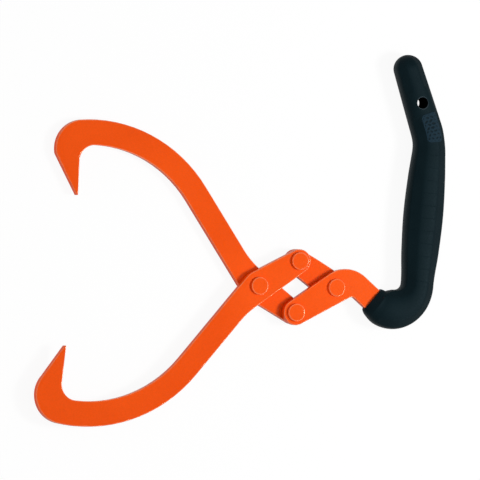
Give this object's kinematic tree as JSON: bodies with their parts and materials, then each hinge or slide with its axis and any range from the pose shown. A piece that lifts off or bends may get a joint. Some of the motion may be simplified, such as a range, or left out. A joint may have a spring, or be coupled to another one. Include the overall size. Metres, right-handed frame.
{
  "type": "log tongs",
  "caption": "Self-closing log tongs: curved flat-steel hooks on a riveted scissor linkage, with an upright moulded grip that has a hanging hole.",
  "frame": {"origin": "centre of the overall box at its bottom, with the tongs lying flat on the grip", "axes": "+X along the pull line from the main rivet towards the grip, +Y towards the rear jaw's hook and the horn of the grip, +Z out of the front plates' face"},
  "size_m": [0.3502, 0.3112, 0.0256],
  "materials": {
    "paint": "satin powder coat",
    "rivet_paint": "satin powder coat",
    "grip": "fine moulded texture"
  },
  "bodies": {
    "handle": {"handle_plate": "paint", "grip": "grip", "jaw_handle_rivet": "rivet_paint", "link_handle_rivet": "rivet_paint"},
    "rear_jaw": {"rear_jaw": "paint", "main_rivet": "rivet_paint"},
    "link": {"short_link": "paint", "jaw_link_rivet": "rivet_paint"},
    "front_jaw": {"front_jaw": "paint"}
  },
  "joints": [
    {"name": "fold", "type": "hinge", "parent": "handle", "child": "rear_jaw", "pos_m": [0.04795, -0.05826, 0.00941], "axis": [0, 0, 1], "range_deg": [-66, 31]},
    {"name": "link_fold", "type": "hinge", "parent": "handle", "child": "link", "pos_m": [0.08251, -0.03714, 0.00941], "axis": [0, 0, 1], "range_deg": [-66, 31]},
    {"name": "jaw_fold", "type": "hinge", "parent": "rear_jaw", "child": "front_jaw", "pos_m": [0.01564, -0.03714, 0.00941], "axis": [0, 0, 1], "range_deg": [-31, 66]}
  ],
  "couplings": [
    {"joint": "link_fold", "follows": "fold", "ratio": 1},
    {"joint": "jaw_fold", "follows": "fold", "ratio": -1}
  ]
}
